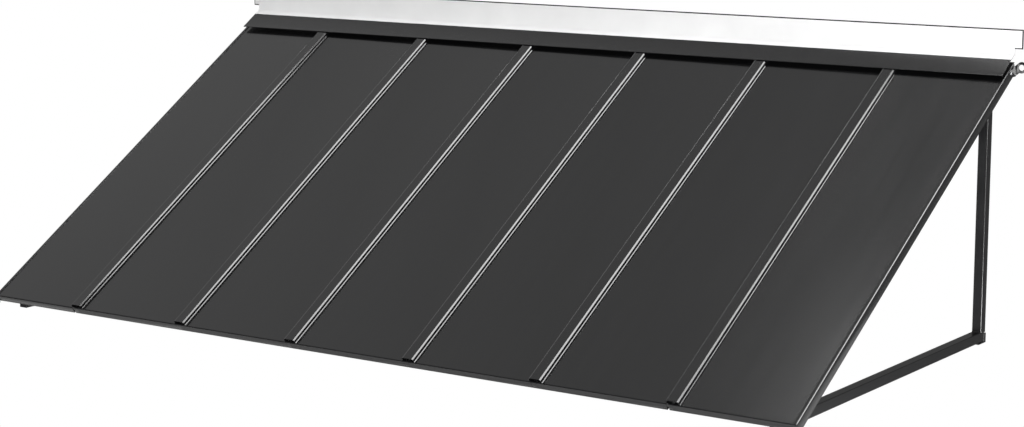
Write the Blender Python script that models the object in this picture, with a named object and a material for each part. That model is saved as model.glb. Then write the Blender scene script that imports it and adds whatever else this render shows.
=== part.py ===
"""Standing seam metal awning with its end frames, ready to be screwed to a wall.

Metres, +Z up. X runs along the wall, the wall is the plane Y = 0 and the awning
reaches out towards -Y. The origin is the middle of the head rail's back face.
"""
import bpy
import bmesh
from math import cos, sin, tan, pi, radians
from mathutils import Matrix, Vector

# Overall sizes
WIDTH = 2.44
PROJECTION = 1.108
PITCH = radians(31.6)
GAP = 0.0003

# Roof sheets
SHEET = 0.0008
SEAM_COUNT = 6
END_PAN_WIDTH = 0.3075
PAN_WALL_GAP = 0.010
EAVE_DEPTH = 0.018
EAVE_RADIUS = 0.003
EAVE_RETURN = 0.008
EAVE_STRIP = 0.006
EAVE_RELIEF = 0.001
EAVE_JOINT_OFFSET = 0.013
EAVE_JOINT = 0.0006
EAVE_SPLICE = 0.005
SPLICED_SEAMS = (1, 6)

# Standing seam: two hooked legs, a clip between them and a cap snapped over both
LEG_FACE = 0.0048
LEG_BEND = 0.0015
HOOK_HEIGHT = 0.0072
HOOK_REACH = 0.0057
CAP_HEIGHT = 0.0106
CAP_TOP_WIDTH = 0.034
CAP_BASE_WIDTH = 0.0395
CAP_CORNER = 0.0025
CAP_LIP_CORNER = 0.0015
CAP_LIP = 0.0105
CAP_EAVE_SETBACK = 0.0015
CLIP_LENGTH = 0.040
CLIP_PLATE = 0.0012
CLIP_TOP_WIDTH = 0.018

# Rake trims along both gable edges
TRIM_SHEET = 0.001
RAKE_DROP = 0.0239
RAKE_WIDTH = 0.010
RAKE_CORNER = 0.002
RAKE_RETURN = 0.008
RAKE_NOSE = 0.006
RAKE_NOTCH = 0.012

# Head of the roof, at the wall
FLASHING_END_INSET = 0.005
HEAD_COVER = 0.0840
HEAD_HEM = 0.0022
HEAD_HEM_RETURN = 0.010
HEAD_UPTURN = 0.020
FLANGE_COVER = 0.0205
FLANGE_TOP_Z = 0.100
SEAL_THICKNESS = 0.003
SEAL_HEIGHT = 0.048
SEAL_REACH = 0.003
SEAL_EDGE = 0.0005
SEAL_END_REACH = 0.0204

# Welded frame of square tube
TUBE = 0.0254
TUBE_WALL = 0.0016
TUBE_CORNER = 0.002
FRAME_INSET = 0.0586
RAFTER_FRONT_S = 0.012
FRONT_RAIL_S = 0.0145
PURLIN_COUNT = 2
ARM_DROP = 0.0313
ARM_FRONT_INSET = 0.035
PLUG_PLATE = 0.002
PLUG_SPIGOT = 0.008
PLUG_CLEARANCE = 0.0002

# Fittings at the wall
FOOT_BLOCK = 0.010
FOOT_SOLE = 0.003
FOOT_LENGTH = 0.042
FOOT_OVERHANG = 0.002
FOOT_TOP_DROP = 0.004
FOOT_EDGE = 0.0008
EAR_THICKNESS = 0.003
EAR_RADIUS = 0.014
EAR_HOLE_RADIUS = 0.0075
EAR_OUTSET = 0.0134
EAR_Z = 0.010
EAR_ARC = radians(223)
EAR_TAB_LENGTH = 0.040
EAR_TAB_TOP = 0.0035
EAR_TAB_HEIGHT = 0.016
SCREW_Y = -0.0316
SCREW_Z = -0.0025
SCREW_LENGTH = 0.005
SCREW_HEAD_RADIUS = 0.0038
SCREW_HEAD_HEIGHT = 0.0022
SCREW_CROWN_RADIUS = 0.0027
SCREW_EDGE_HEIGHT = 0.0012
SCREW_SHANK_RADIUS = 0.0019
SCREW_HOLE_CLEARANCE = 0.0004

# Places that follow from the sizes above
HALF = WIDTH / 2
SEAM_PITCH = (WIDTH - 2 * END_PAN_WIDTH) / (SEAM_COUNT - 1)
PAN_WALL_Z = TUBE / 2 + TUBE * tan(PITCH) + (SHEET + GAP) / cos(PITCH)
FRONT_Z = PAN_WALL_Z - PROJECTION * tan(PITCH)
FRAME_TOP = -(SHEET + GAP)
CAP_BASE_HEIGHT = GAP
CAP_LIP_TOP = CAP_BASE_HEIGHT + SHEET
RAKE_TOP = GAP + TRIM_SHEET
HEAD_TOP = CAP_HEIGHT + GAP + HEAD_HEM
UPTURN_Y = -(SEAL_THICKNESS + GAP + SHEET)
FLANGE_Y = UPTURN_Y - GAP - SHEET
FLANGE_TOP = HEAD_TOP + GAP + SHEET
OUTER_X = HALF - FRAME_INSET
INNER_X = OUTER_X - TUBE
ARM_UNDERSIDE_Z = FRONT_Z - ARM_DROP
ARM_TOP_Z = ARM_UNDERSIDE_Z + TUBE
SLOPE_LENGTH = PROJECTION / cos(PITCH)
HEAD_LOWER_S = SLOPE_LENGTH - HEAD_COVER
FLANGE_LOWER_S = SLOPE_LENGTH - FLANGE_COVER
X_AXIS = Vector((1, 0, 0))
UP = Vector((0, 0, 1))
DOWN = Vector((0, 0, -1))
UPHILL = Vector((0, 1, 0))
DOWNHILL = Vector((0, -1, 0))
PLUMB = Vector((0, sin(PITCH), cos(PITCH)))

BLACK = ("black_satin_coat", (0.052, 0.052, 0.054), 0.38, 0.0)
FRAME_BLACK = ("black_frame_coat", (0.060, 0.060, 0.062), 0.45, 0.0)
WHITE = ("white_coat", (0.90, 0.90, 0.90), 0.45, 0.0)
RUBBER = ("black_rubber", (0.020, 0.020, 0.020), 0.80, 0.0)
ZINC = ("zinc_plate", (0.62, 0.62, 0.63), 0.35, 1.0)


def clear_scene():
    """Remove every object that the file starts with."""
    for obj in list(bpy.data.objects):
        bpy.data.objects.remove(obj, do_unlink=True)


def material(name, finish):
    """Make a sub-part's own Principled material from a finish."""
    label, colour, roughness, metallic = finish
    made = bpy.data.materials.new(f"{name}_{label}")
    made.use_nodes = True
    shader = made.node_tree.nodes["Principled BSDF"]
    shader.inputs["Base Color"].default_value = (*colour, 1.0)
    shader.inputs["Roughness"].default_value = roughness
    shader.inputs["Metallic"].default_value = metallic
    return made


def add_object(name, bm, finish, parent=None, smooth=False):
    """Turn a bmesh into a named object with its own material."""
    mesh = bpy.data.meshes.new(name)
    bm.to_mesh(mesh)
    bm.free()
    if smooth:
        mesh.shade_smooth()
        mesh.set_sharp_from_angle(angle=radians(40))
    mesh.materials.append(material(name, finish))
    obj = bpy.data.objects.new(name, mesh)
    bpy.context.scene.collection.objects.link(obj)
    obj.parent = parent
    return obj


def bend(radius, start, end, segments=3):
    """Steps along an arc that turns a sheet from direction start to direction end."""
    angle = start.angle(end)
    across = (end - start * start.dot(end)).normalized()
    points = []
    for i in range(segments + 1):
        turn = angle * i / segments
        points.append(radius * (sin(turn) * start + (1 - cos(turn)) * across))
    return [b - a for a, b in zip(points, points[1:])]


def half_turn(radius, start, side, segments=6):
    """Steps round a closed hem, from direction start back the other way."""
    points = []
    for i in range(segments + 1):
        turn = pi * i / segments
        points.append(radius * (sin(turn) * start + (1 - cos(turn)) * side))
    return [b - a for a, b in zip(points, points[1:])]


def fold(bm, edges, steps):
    """Extrude edges along the steps, as a brake folds a sheet, and return the last edges."""
    for step in steps:
        made = bmesh.ops.extrude_edge_only(bm, edges=edges)["geom"]
        verts = {item for item in made if isinstance(item, bmesh.types.BMVert)}
        bmesh.ops.translate(bm, verts=list(verts), vec=step)
        lines = [item for item in made if isinstance(item, bmesh.types.BMEdge)]
        edges = [edge for edge in lines if set(edge.verts) <= verts]
    return edges


def edges_at(bm, test):
    """Free edges of the sheet whose two ends both pass the test."""
    return [e for e in bm.edges if e.is_boundary and all(test(v.co) for v in e.verts)]


def near(a, b):
    return abs(a - b) < 1e-6


def turn_outwards(bm, outward):
    """Make the sheet's faces agree, with the first one facing outwards."""
    bmesh.ops.recalc_face_normals(bm, faces=bm.faces[:])
    bm.faces.ensure_lookup_table()
    bm.normal_update()
    if bm.faces[0].normal.dot(outward) < 0:
        bmesh.ops.reverse_faces(bm, faces=bm.faces[:])


def sheet_object(name, bm, finish, thickness, parent, outward):
    """Give a folded sheet its thickness, behind the faces that were drawn."""
    turn_outwards(bm, outward)
    obj = add_object(name, bm, finish, parent, smooth=True)
    skin = obj.modifiers.new("thickness", "SOLIDIFY")
    skin.thickness = thickness
    skin.offset = -1.0
    skin.use_even_offset = True
    skin.use_quality_normals = True
    return obj


def roof_slope():
    """Empty at the eave line: its Y climbs the slope and its Z stands off the roof."""
    slope = bpy.data.objects.new("roof_slope", None)
    bpy.context.scene.collection.objects.link(slope)
    slope.location = (0, -PROJECTION, FRONT_Z)
    slope.rotation_euler = (PITCH, 0, 0)
    return slope


def slope_s(y, h):
    """Distance up the slope of a point that lies at world y and stands h off the roof."""
    return (PROJECTION + y + h * sin(PITCH)) / cos(PITCH)


def seam_x(number):
    """Centre line of a seam, counted from the left gable."""
    return (number - (SEAM_COUNT + 1) / 2) * SEAM_PITCH


def pan_edges(number):
    """Leg lines and eave tab ends of one pan, as two pairs of x."""
    joint = EAVE_JOINT_OFFSET
    if number == 1:
        left = -HALF + RAKE_CORNER + GAP
        left_tab = left
    else:
        left = seam_x(number - 1) + LEG_FACE
        left_tab = seam_x(number - 1) - joint
    if number == SEAM_COUNT + 1:
        right = HALF - RAKE_CORNER - GAP
        right_tab = right
    else:
        spliced = number in SPLICED_SEAMS
        right = seam_x(number) - LEG_FACE
        right_tab = seam_x(number) - joint - (EAVE_SPLICE if spliced else EAVE_JOINT)
    return (left, right), (left_tab, right_tab)


def seam_leg(bm, x, side):
    """Fold up a leg at x with its hook; side is +1 where the pan lies towards +X."""
    inward = X_AXIS * side
    line = edges_at(bm, lambda co: near(co.x, x) and near(co.z, 0) and co.y > EAVE_STRIP)
    rise = HOOK_HEIGHT - LEG_BEND
    lip_drop = HOOK_HEIGHT - LEG_BEND - (CAP_LIP_TOP + GAP)
    steps = [UP * rise]
    steps += bend(LEG_BEND, UP, inward, 2)
    steps += [inward * (HOOK_REACH - 2 * LEG_BEND)]
    steps += bend(LEG_BEND, inward, DOWN, 2)
    steps += [DOWN * lip_drop]
    fold(bm, line, steps)


def pan(number, slope):
    """One roof pan: a flat sheet with an upturned leg at each seam and a folded eave."""
    (left, right), (left_tab, right_tab) = pan_edges(number)
    leg_start = EAVE_STRIP + EAVE_RELIEF
    top = slope_s(-PAN_WALL_GAP, 0)
    nose_left = max(left, left_tab)
    nose_right = min(right, right_tab)
    outline = [(left, leg_start), (nose_left, leg_start), (nose_right, leg_start)]
    outline += [(right, leg_start), (right, top), (left, top)]
    bm = bmesh.new()
    bm.faces.new([bm.verts.new((x, s, 0)) for x, s in dict.fromkeys(outline)])
    front = edges_at(bm, lambda co: near(co.y, leg_start) and nose_left <= co.x + GAP
                     and co.x - GAP <= nose_right)
    fold(bm, front, [DOWNHILL * EAVE_RELIEF, DOWNHILL * (EAVE_STRIP - EAVE_RADIUS)])
    for side, tab in ((left, left_tab), (right, right_tab)):
        if (tab - side) * (side - (left + right) / 2) > 0:
            end = edges_at(bm, lambda co: near(co.x, side) and co.y < EAVE_STRIP + GAP)
            fold(bm, end, [X_AXIS * (tab - side)])
    nose = edges_at(bm, lambda co: near(co.y, EAVE_RADIUS))
    steps = bend(EAVE_RADIUS, DOWNHILL, DOWN, 4)
    steps += [DOWN * (EAVE_DEPTH - EAVE_RADIUS)]
    steps += [UPHILL * EAVE_RETURN]
    fold(bm, nose, steps)
    if number > 1:
        seam_leg(bm, left, 1)
    if number <= SEAM_COUNT:
        seam_leg(bm, right, -1)
    return sheet_object(f"pan_{number}", bm, BLACK, SHEET, slope, UP)


def seam_cap(number, slope):
    """Cap that snaps over the hooks of two legs: crowned corners, flared sides, turned-in lips."""
    x = seam_x(number)
    top = slope_s(-PAN_WALL_GAP, 0)
    shoulder = CAP_TOP_WIDTH / 2 - CAP_CORNER
    bm = bmesh.new()
    ends = [bm.verts.new((x - shoulder, s, CAP_HEIGHT)) for s in (CAP_EAVE_SETBACK, top)]
    more = [bm.verts.new((x + shoulder, s, CAP_HEIGHT)) for s in (top, CAP_EAVE_SETBACK)]
    bm.faces.new(ends + more)
    flare = (CAP_BASE_WIDTH - CAP_TOP_WIDTH) / 2
    side_drop = CAP_HEIGHT - CAP_BASE_HEIGHT
    for side in (-1, 1):
        outward = X_AXIS * side
        flank = (DOWN * side_drop + outward * flare).normalized()
        line = edges_at(bm, lambda co: near(co.x, x + side * shoulder))
        corner = bend(CAP_CORNER, outward, flank, 4)
        lip_turn = bend(CAP_LIP_CORNER, flank, -outward, 4)
        used = -sum((step.z for step in corner + lip_turn), 0.0)
        steps = corner
        steps += [flank * ((side_drop - used) / -flank.z)]
        steps += lip_turn
        steps += [-outward * (CAP_LIP - CAP_LIP_CORNER)]
        fold(bm, line, steps)
    return sheet_object(f"seam_cap_{number}", bm, BLACK, SHEET, slope, UP)


def prism(bm, outline, depth):
    """Fill an outline given as points and extrude it along depth into a closed solid."""
    face = bm.faces.new([bm.verts.new(point) for point in outline])
    made = bmesh.ops.extrude_face_region(bm, geom=[face])["geom"]
    verts = [item for item in made if isinstance(item, bmesh.types.BMVert)]
    bmesh.ops.translate(bm, verts=verts, vec=depth)
    bmesh.ops.recalc_face_normals(bm, faces=bm.faces[:])


def clip_outline(x, s):
    """Section of a seam clip: foot between the legs, web, and a head over both hooks."""
    foot = LEG_FACE - SHEET - GAP
    web = CLIP_PLATE / 2
    head = CLIP_TOP_WIDTH / 2
    low = -SHEET
    shelf = HOOK_HEIGHT + SHEET + GAP
    half = [(foot, low), (foot, low + CLIP_PLATE), (web, low + CLIP_PLATE), (web, shelf)]
    half += [(head, shelf), (head, shelf + CLIP_PLATE)]
    other = [(-u, h) for u, h in reversed(half)]
    return [(x + u, s, h) for u, h in half + other]


def seam_clip(name, x, s, slope):
    """Clip that holds two pans down to the purlin under it."""
    bm = bmesh.new()
    prism(bm, clip_outline(x, s - CLIP_LENGTH / 2), UPHILL * CLIP_LENGTH)
    return add_object(name, bm, ZINC, slope)


def rake_trim(name, side, slope):
    """Gable edge trim: a flange flat on the end pan, a deep face and a wrapped eave end."""
    outer = side * HALF
    outward = X_AXIS * side
    front = -(GAP + TRIM_SHEET)
    start = front + RAKE_CORNER
    end = slope_s(-(EAR_THICKNESS + GAP), -RAKE_DROP)
    return_end = slope_s(-EAR_TAB_LENGTH, -RAKE_DROP) - RAKE_RETURN
    bm = bmesh.new()
    stations = (start, RAKE_NOTCH, return_end, end)
    verts = [bm.verts.new((outer, s, -RAKE_DROP)) for s in stations]
    line = [bm.edges.new(pair) for pair in zip(verts, verts[1:])]
    steps = [UP * (RAKE_TOP + RAKE_DROP - RAKE_CORNER)]
    face_top = fold(bm, line, steps)
    steps = bend(RAKE_CORNER, UP, -outward, 4)
    steps += [-outward * (RAKE_WIDTH - RAKE_CORNER)]
    fold(bm, face_top, steps)
    nose = edges_at(bm, lambda co: near(co.x, outer) and near(co.y, start))
    steps = bend(RAKE_CORNER, DOWNHILL, -outward, 4)
    steps += [-outward * (RAKE_NOSE - RAKE_CORNER)]
    fold(bm, nose, steps)
    low = edges_at(bm, lambda co: near(co.z, -RAKE_DROP) and near(co.x, outer))
    low = [e for e in low if all(RAKE_NOTCH - GAP < v.co.y < return_end + GAP for v in e.verts)]
    fold(bm, low, [-outward * RAKE_RETURN])
    trim = sheet_object(name, bm, BLACK, TRIM_SHEET, slope, outward)
    cut_screw_hole(trim, side)
    return trim


def screw_hole_cutter(name, side):
    """Hidden cylinder along X at the trim screw."""
    bm = bmesh.new()
    turn = Matrix.Translation((side * HALF, SCREW_Y, SCREW_Z)) @ Matrix.Rotation(pi / 2, 4, "Y")
    radius = SCREW_SHANK_RADIUS + SCREW_HOLE_CLEARANCE
    reach = 4 * SCREW_LENGTH
    bmesh.ops.create_cone(bm, cap_ends=True, segments=20, radius1=radius, radius2=radius,
                          depth=reach, matrix=turn)
    cutter = add_object(name, bm, ZINC)
    cutter.hide_render = True
    cutter.display_type = "WIRE"
    return cutter


def cut_screw_hole(obj, side):
    """Cut the trim screw's hole through a sheet or plate."""
    hole = obj.modifiers.new("screw_hole", "BOOLEAN")
    hole.operation = "DIFFERENCE"
    hole.solver = "EXACT"
    hole.object = screw_hole_cutter(f"{obj.name}_hole_cutter", side)


def head_flashing(slope):
    """Black apron over the seam caps: hemmed lower edge, slope, upturn at the wall."""
    left = -HALF + FLASHING_END_INSET
    right = HALF - FLASHING_END_INSET
    radius = HEAD_HEM / 2
    fold_s = slope_s(UPTURN_Y, HEAD_TOP)
    bm = bmesh.new()
    start = HEAD_LOWER_S + radius
    verts = [bm.verts.new((x, start, HEAD_TOP)) for x in (left, right)]
    line = bm.edges.new(verts)
    fold(bm, [line], [UPHILL * (fold_s - start), PLUMB * HEAD_UPTURN])
    lower = edges_at(bm, lambda co: near(co.y, start))
    steps = half_turn(radius, DOWNHILL, DOWN)
    steps += [UPHILL * HEAD_HEM_RETURN]
    fold(bm, lower, steps)
    return sheet_object("head_flashing", bm, BLACK, SHEET, slope, UP)


def wall_flange(slope):
    """White counter flashing: a skirt on the black apron and a flange up the wall."""
    left = -HALF + FLASHING_END_INSET
    right = HALF - FLASHING_END_INSET
    fold_s = slope_s(FLANGE_Y, FLANGE_TOP)
    fold_z = FRONT_Z + fold_s * sin(PITCH) + FLANGE_TOP * cos(PITCH)
    bm = bmesh.new()
    verts = [bm.verts.new((x, FLANGE_LOWER_S, FLANGE_TOP)) for x in (left, right)]
    line = bm.edges.new(verts)
    fold(bm, [line], [UPHILL * (fold_s - FLANGE_LOWER_S), PLUMB * (FLANGE_TOP_Z - fold_z)])
    return sheet_object("wall_flange", bm, WHITE, SHEET, slope, UP)


def box(bm, low, high):
    """Add a closed box between two corners."""
    size = [b - a for a, b in zip(low, high)]
    centre = [(a + b) / 2 for a, b in zip(low, high)]
    place = Matrix.Translation(centre) @ Matrix.Diagonal((*size, 1))
    bmesh.ops.create_cube(bm, size=1, matrix=place)


def round_edges(obj, width, segments=2):
    """Bevel every hard edge of a solid."""
    soft = obj.modifiers.new("soft_edges", "BEVEL")
    soft.width = width
    soft.segments = segments
    soft.limit_method = "ANGLE"


def wall_seal():
    """Rubber strip between the flange and the wall, standing proud of its top edge."""
    reach = HALF - FLASHING_END_INSET + SEAL_END_REACH
    top = FLANGE_TOP_Z + SEAL_REACH
    bm = bmesh.new()
    box(bm, (-reach, -SEAL_THICKNESS, top - SEAL_HEIGHT), (reach, 0, top))
    seal = add_object("wall_seal", bm, RUBBER)
    round_edges(seal, SEAL_EDGE, 1)
    return seal


def square_loop(bm, half, corner, place):
    """Points round a square section with rounded corners, in order."""
    verts = []
    for quarter in range(4):
        spin = Matrix.Rotation(quarter * pi / 2, 2)
        centre = spin @ Vector((half - corner, half - corner))
        for turn in (0, pi / 4, pi / 2):
            angle = quarter * pi / 2 + turn
            point = centre + corner * Vector((cos(angle), sin(angle)))
            verts.append(bm.verts.new(place @ Vector((point.x, point.y, 0))))
    return verts


def square_tube(start, end, end_plane=None):
    """Square tube from start to end; the end can follow a plane of (point, normal)."""
    along = end - start
    place = Matrix.Translation(start) @ along.to_track_quat("Z", "Y").to_matrix().to_4x4()
    bm = bmesh.new()
    outer = square_loop(bm, TUBE / 2, TUBE_CORNER, place)
    inner = square_loop(bm, TUBE / 2 - TUBE_WALL, TUBE_CORNER - TUBE_WALL, place)
    count = len(outer)
    rim = []
    for i in range(count):
        j = (i + 1) % count
        rim.append(bm.faces.new((outer[i], outer[j], inner[j], inner[i])))
    made = bmesh.ops.extrude_face_region(bm, geom=rim)["geom"]
    far = [item for item in made if isinstance(item, bmesh.types.BMVert)]
    bmesh.ops.translate(bm, verts=far, vec=along)
    if end_plane:
        point, normal = end_plane
        for vert in far:
            vert.co += along * ((point - vert.co).dot(normal) / along.dot(normal))
    bmesh.ops.recalc_face_normals(bm, faces=bm.faces[:])
    return bm


def mitre(bm, point, normal):
    """Cut a corner off a closed solid and close the cut again."""
    whole = bm.verts[:] + bm.edges[:] + bm.faces[:]
    bmesh.ops.bisect_plane(bm, geom=whole, plane_co=point, plane_no=normal, clear_outer=True,
                           dist=1e-7)
    open_edges = [edge for edge in bm.edges if edge.is_boundary]
    bmesh.ops.edgeloop_fill(bm, edges=open_edges)
    bmesh.ops.recalc_face_normals(bm, faces=bm.faces[:])


def rafter(name, side, slope):
    """Sloping tube of an end frame, square at the eave and plumb at the head rail."""
    x = side * (OUTER_X - TUBE / 2)
    h = FRAME_TOP - TUBE / 2
    top = slope_s(0, 0)
    wall_cut = Vector((x, slope_s(-(TUBE + GAP), h), h))
    plumb_face = Vector((0, cos(PITCH), -sin(PITCH)))
    tube = square_tube(Vector((x, RAFTER_FRONT_S, h)), Vector((x, top, h)),
                       (wall_cut, plumb_face))
    return add_object(name, tube, FRAME_BLACK, slope, smooth=True)


def cross_rail(name, s, slope):
    """Tube across the slope between the two rafters; s is its lower face."""
    reach = INNER_X - GAP
    h = FRAME_TOP - TUBE / 2
    centre = s + TUBE / 2
    tube = square_tube(Vector((-reach, centre, h)), Vector((reach, centre, h)))
    return add_object(name, tube, FRAME_BLACK, slope, smooth=True)


def purlin_s(index):
    """Lower face of each purlin, spaced evenly between the front rail and the head rail."""
    head_s = slope_s(-TUBE, FRAME_TOP)
    span = head_s - FRONT_RAIL_S
    return FRONT_RAIL_S + span * (index + 1) / (PURLIN_COUNT + 1)


def head_rail():
    """Tube along the wall that both end frames and the ears join."""
    reach = HALF - TRIM_SHEET - GAP - EAR_THICKNESS - GAP
    y = -TUBE / 2
    tube = square_tube(Vector((-reach, y, 0)), Vector((reach, y, 0)))
    return add_object("head_rail", tube, FRAME_BLACK, smooth=True)


def post(name, side):
    """Upright tube of an end frame, flat on the wall."""
    x = side * (OUTER_X - TUBE / 2)
    low = Vector((x, -TUBE / 2, ARM_TOP_Z + GAP))
    high = Vector((x, -TUBE / 2, -TUBE / 2 - GAP))
    return add_object(name, square_tube(low, high), FRAME_BLACK, smooth=True)


def rafter_underside():
    """Plane just under the rafters, as a world point and the normal that faces the roof."""
    slope = Matrix.Translation((0, -PROJECTION, FRONT_Z)) @ Matrix.Rotation(PITCH, 4, "X")
    point = slope @ Vector((0, 0, FRAME_TOP - TUBE - GAP))
    return point, Vector((0, -sin(PITCH), cos(PITCH)))


def arm(name, side):
    """Level tube of an end frame, its front end mitred to the rafter's underside."""
    x = side * (OUTER_X - TUBE / 2)
    z = ARM_UNDERSIDE_Z + TUBE / 2
    front = Vector((x, -PROJECTION + ARM_FRONT_INSET, z))
    back = Vector((x, -(FOOT_BLOCK + GAP), z))
    tube = square_tube(back, front)
    mitre(tube, *rafter_underside())
    return add_object(name, tube, FRAME_BLACK, smooth=True)


def arm_plug(name, side):
    """Push-in cap for the arm's front end, trimmed by the same mitre."""
    x = side * (OUTER_X - TUBE / 2)
    z = ARM_UNDERSIDE_Z + TUBE / 2
    face = -PROJECTION + ARM_FRONT_INSET - GAP
    half = TUBE / 2
    bm = bmesh.new()
    box(bm, (x - half, face - PLUG_PLATE, z - half), (x + half, face, z + half))
    bm.normal_update()
    back = [f for f in bm.faces if near(f.normal.y, 1)]
    rim = TUBE_WALL + PLUG_CLEARANCE
    bmesh.ops.inset_region(bm, faces=back, thickness=rim, use_even_offset=True)
    made = bmesh.ops.extrude_face_region(bm, geom=back)["geom"]
    verts = [item for item in made if isinstance(item, bmesh.types.BMVert)]
    bmesh.ops.translate(bm, verts=verts, vec=(0, PLUG_SPIGOT + GAP, 0))
    bmesh.ops.delete(bm, geom=back, context="FACES_ONLY")
    mitre(bm, *rafter_underside())
    return add_object(name, bm, RUBBER)


def wall_foot(name, side):
    """Moulded shoe between the arm's end and the wall, with a sole under the arm."""
    x = side * (OUTER_X - TUBE / 2)
    half = TUBE / 2 + FOOT_OVERHANG
    sole_top = ARM_UNDERSIDE_Z - GAP
    low = sole_top - FOOT_SOLE
    block_top = ARM_TOP_Z - FOOT_TOP_DROP
    outline = [(0, low), (0, block_top), (-FOOT_BLOCK, block_top), (-FOOT_BLOCK, sole_top)]
    outline += [(-FOOT_LENGTH, sole_top), (-FOOT_LENGTH, low)]
    bm = bmesh.new()
    prism(bm, [(x - half, y, z) for y, z in outline], X_AXIS * 2 * half)
    foot = add_object(name, bm, RUBBER)
    round_edges(foot, FOOT_EDGE)
    return foot


def wall_ear(name, side):
    """Bent ear: a holed lug flat on the wall and a tab that the rake trim is screwed to."""
    tab_outer = HALF - TRIM_SHEET - GAP
    tab_inner = tab_outer - EAR_THICKNESS
    centre_x = HALF + EAR_OUTSET
    outline = []
    for i in range(21):
        angle = EAR_ARC * (i / 20 - 1 / 2)
        outline.append((centre_x + EAR_RADIUS * cos(angle), EAR_Z + EAR_RADIUS * sin(angle)))
    half = TUBE / 2
    outline += [(tab_inner, half), (tab_inner, -half)]
    bm = bmesh.new()
    prism(bm, [(side * x, -EAR_THICKNESS, z) for x, z in outline], UPHILL * EAR_THICKNESS)
    plate = add_object(name, bm, FRAME_BLACK)
    tab = bmesh.new()
    tab_low = EAR_TAB_TOP - EAR_TAB_HEIGHT
    xs = sorted((side * tab_inner, side * tab_outer))
    box(tab, (xs[0], -EAR_TAB_LENGTH, tab_low), (xs[1], -EAR_THICKNESS / 2, EAR_TAB_TOP))
    tab_piece = add_object(f"{name}_tab_guide", tab, FRAME_BLACK)
    hole = bmesh.new()
    turn = Matrix.Translation((side * centre_x, 0, EAR_Z)) @ Matrix.Rotation(pi / 2, 4, "X")
    bmesh.ops.create_cone(hole, cap_ends=True, segments=28, radius1=EAR_HOLE_RADIUS,
                          radius2=EAR_HOLE_RADIUS, depth=4 * EAR_THICKNESS, matrix=turn)
    hole_piece = add_object(f"{name}_hole_cutter", hole, FRAME_BLACK)
    for other, operation in ((tab_piece, "UNION"), (hole_piece, "DIFFERENCE")):
        other.hide_render = True
        other.display_type = "WIRE"
        step = plate.modifiers.new(operation.lower(), "BOOLEAN")
        step.operation = operation
        step.solver = "EXACT"
        step.object = other
    cut_screw_hole(plate, side)
    return plate


def trim_screw(name, side):
    """Pan head screw that fastens the rake trim to the ear's tab."""
    seat = HALF + GAP
    bm = bmesh.new()
    crown = seat + SCREW_HEAD_HEIGHT
    tip = seat - SCREW_LENGTH
    profile = [(0, crown), (SCREW_CROWN_RADIUS, crown)]
    profile += [(SCREW_HEAD_RADIUS, seat + SCREW_EDGE_HEIGHT), (SCREW_HEAD_RADIUS, seat)]
    profile += [(SCREW_SHANK_RADIUS, seat), (SCREW_SHANK_RADIUS, tip), (0, tip)]
    verts = [bm.verts.new((side * x, SCREW_Y, SCREW_Z + r)) for r, x in profile]
    edges = [bm.edges.new(pair) for pair in zip(verts, verts[1:])]
    bmesh.ops.spin(bm, geom=verts + edges, cent=(0, SCREW_Y, SCREW_Z), axis=(1, 0, 0),
                   angle=2 * pi, steps=16, use_merge=True)
    bmesh.ops.remove_doubles(bm, verts=bm.verts[:], dist=1e-6)
    bmesh.ops.recalc_face_normals(bm, faces=bm.faces[:])
    return add_object(name, bm, ZINC, smooth=True)


def build():
    """Make every sub-part of the awning."""
    clear_scene()
    slope = roof_slope()
    for number in range(1, SEAM_COUNT + 2):
        pan(number, slope)
    cross_rail("front_rail", FRONT_RAIL_S, slope)
    purlins = ("lower", "upper")
    for index, level in enumerate(purlins):
        s = purlin_s(index)
        cross_rail(f"purlin_{level}", s, slope)
        for number in range(1, SEAM_COUNT + 1):
            seam_clip(f"seam_clip_{number}_{level}", seam_x(number), s + TUBE / 2, slope)
    for number in range(1, SEAM_COUNT + 1):
        seam_cap(number, slope)
    head_flashing(slope)
    wall_flange(slope)
    wall_seal()
    head_rail()
    for word, side in (("left", -1), ("right", 1)):
        rake_trim(f"rake_trim_{word}", side, slope)
        rafter(f"rafter_{word}", side, slope)
        post(f"post_{word}", side)
        arm(f"arm_{word}", side)
        arm_plug(f"arm_plug_{word}", side)
        wall_foot(f"wall_foot_{word}", side)
        wall_ear(f"wall_ear_{word}", side)
        trim_screw(f"trim_screw_{word}", side)


build()
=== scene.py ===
"""Looks of the standing seam awning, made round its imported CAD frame."""

from math import cos, pi, radians, sin, tan

import bmesh
import bpy
from mathutils import Matrix, Vector


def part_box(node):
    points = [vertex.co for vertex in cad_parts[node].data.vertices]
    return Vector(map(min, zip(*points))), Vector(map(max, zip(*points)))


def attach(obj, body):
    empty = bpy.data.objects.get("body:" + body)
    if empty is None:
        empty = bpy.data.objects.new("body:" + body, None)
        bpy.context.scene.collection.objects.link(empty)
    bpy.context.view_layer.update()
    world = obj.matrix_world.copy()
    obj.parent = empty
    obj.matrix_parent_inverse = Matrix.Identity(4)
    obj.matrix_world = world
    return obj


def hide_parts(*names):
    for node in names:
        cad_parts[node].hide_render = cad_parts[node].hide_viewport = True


bl_info = {
    "name": "Standing Seam Awning",
    "version": (1, 0, 0),
    "blender": (4, 5, 0),
    "location": "View3D > Sidebar > Awning",
    "description": "Finished sheet, frame and fittings of a standing seam metal awning",
    "category": "Object",
}

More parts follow.
